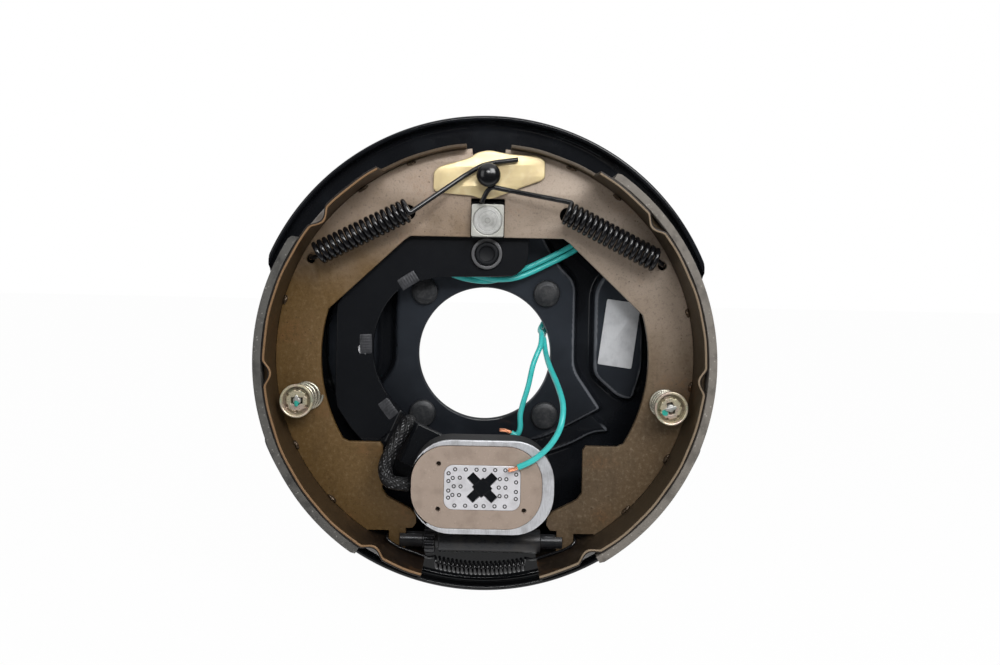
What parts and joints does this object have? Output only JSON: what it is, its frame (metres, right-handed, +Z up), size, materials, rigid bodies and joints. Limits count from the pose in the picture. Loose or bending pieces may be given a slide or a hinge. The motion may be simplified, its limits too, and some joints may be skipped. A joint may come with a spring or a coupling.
{
  "type": "electric trailer brake",
  "caption": "Electric drum brake for a trailer axle: pressed backing plate with lined shoes, a magnet on an actuating arm, a screw adjuster and return springs.",
  "frame": {"origin": "centre of the square of mounting studs, on the face of the backing plate that bolts to the axle flange", "axes": "+Y along the axle towards the trailer's middle, the way the studs stand; +Z up, towards the anchor post; +X towards the secondary shoe"},
  "size_m": [0.262, 0.0912, 0.2856],
  "materials": {
    "black_gloss": "gloss black coating",
    "black_satin": "satin black coating",
    "stud_steel": "dark phosphated steel",
    "rubber": "matt",
    "bare_label": "satin, nothing on it",
    "gold_zinc": "yellow passivated zinc",
    "shoe_brown": "bronze-brown dip, left shoe warmer",
    "lining": "moulded friction material, ground",
    "black_spring": "black coated spring wire, gloss",
    "spring_steel": "oiled spring wire",
    "dark_steel": "black oxide",
    "steel": "ground steel",
    "bronze": "sintered bronze",
    "zinc_yellow": "yellow passivated zinc",
    "friction_face": "beige moulded face",
    "copper": "bare copper",
    "lead_teal": "teal insulation",
    "braid": "black braided sleeve"
  },
  "bodies": {
    "root": {"backing_plate": "black_gloss", "mounting_studs": "stud_steel", "slot_plugs": "rubber", "blank_plate": "bare_label", "wire_grommet": "rubber", "anchor_post": "black_gloss", "anchor_guide_plate": "gold_zinc", "pivot_post": "black_satin", "pivot_ring": "spring_steel", "holddown_pins": "zinc_yellow", "primary_return_spring": "black_spring", "secondary_return_spring": "black_spring", "adjuster_spring": "black_spring", "adjuster_socket": "dark_steel", "thrust_washer": "spring_steel", "holddown_spring_left": "spring_steel", "holddown_spring_right": "spring_steel", "free_lead_short": "lead_teal", "free_lead_long": "lead_teal", "lead_end_short": "copper", "lead_end_long": "copper"},
    "arm": {"actuating_arm": "black_satin", "arm_bushing": "bronze", "block_pin": "steel", "magnet_pin": "steel", "magnet_clip": "dark_steel", "magnet_spring": "spring_steel", "lead_sleeve": "braid", "inner_leads": "lead_teal"},
    "block": {"actuator_block": "steel"},
    "magnet": {"magnet_housing": "steel", "magnet_coil": "copper", "magnet_face": "friction_face", "magnet_core_plate": "steel"},
    "primary_shoe": {"primary_web": "shoe_brown", "primary_table": "shoe_brown", "primary_lining": "lining"},
    "secondary_shoe": {"secondary_web": "shoe_brown", "secondary_table": "shoe_brown", "secondary_lining": "lining"},
    "star_screw": {"adjuster_star_screw": "dark_steel"},
    "nut": {"adjuster_nut": "dark_steel"},
    "cup_left": {"holddown_cup_left": "zinc_yellow"},
    "cup_right": {"holddown_cup_right": "zinc_yellow"}
  },
  "joints": [
    {"name": "arm_swing", "type": "hinge", "parent": "root", "child": "arm", "pos_m": [0, -0.01837, 0.0593], "axis": [0, -1, 0], "range_deg": [0, 8], "stiffness_Nm_per_rad": 4, "springref_deg": -20.05, "deforming": ["inner_leads"]},
    {"name": "block_turn", "type": "hinge", "parent": "arm", "child": "block", "pos_m": [0, -0.02477, 0.0782], "axis": [0, -1, 0], "range_deg": [-8, 0.5]},
    {"name": "primary_apply", "type": "hinge", "parent": "root", "child": "primary_shoe", "pos_m": [-0.0432, -0.02477, -0.1055], "axis": [0, -1, 0], "range_deg": [0, 0.9], "deforming": ["primary_return_spring", "adjuster_spring"]},
    {"name": "magnet_slide", "type": "slide", "parent": "arm", "child": "magnet", "axis": [0, 1, 0], "range_m": [0, 0.003], "stiffness_N_per_m": 2000, "springref_m": -0.004, "deforming": ["magnet_spring", "lead_sleeve"]},
    {"name": "secondary_adjust", "type": "hinge", "parent": "root", "child": "secondary_shoe", "pos_m": [0, -0.02477, 0.1035], "axis": [0, -1, 0], "range_deg": [0, 1.04], "deforming": ["secondary_return_spring", "adjuster_spring"]},
    {"name": "star_turn", "type": "hinge", "parent": "root", "child": "star_screw", "pos_m": [0, -0.02477, -0.1055], "axis": [1, 0, 0], "range_deg": [0, 1080]},
    {"name": "nut_slide", "type": "slide", "parent": "root", "child": "nut", "axis": [1, 0, 0], "range_m": [0, 0.0039]},
    {"name": "holddown_press_left", "type": "slide", "parent": "root", "child": "cup_left", "axis": [0, 1, 0], "range_m": [0, 0.003], "stiffness_N_per_m": 3000, "springref_m": -0.003, "deforming": ["holddown_spring_left"]},
    {"name": "holddown_press_right", "type": "slide", "parent": "root", "child": "cup_right", "axis": [0, 1, 0], "range_m": [0, 0.003], "stiffness_N_per_m": 3000, "springref_m": -0.003, "deforming": ["holddown_spring_right"]}
  ],
  "couplings": [
    {"joint": "block_turn", "follows": "arm_swing", "ratio": -0.89711},
    {"joint": "primary_apply", "follows": "arm_swing", "ratio": 0.10289},
    {"joint": "star_turn", "follows": "secondary_adjust", "ratio": 1034},
    {"joint": "nut_slide", "follows": "secondary_adjust", "m_per_rad": 0.209}
  ]
}
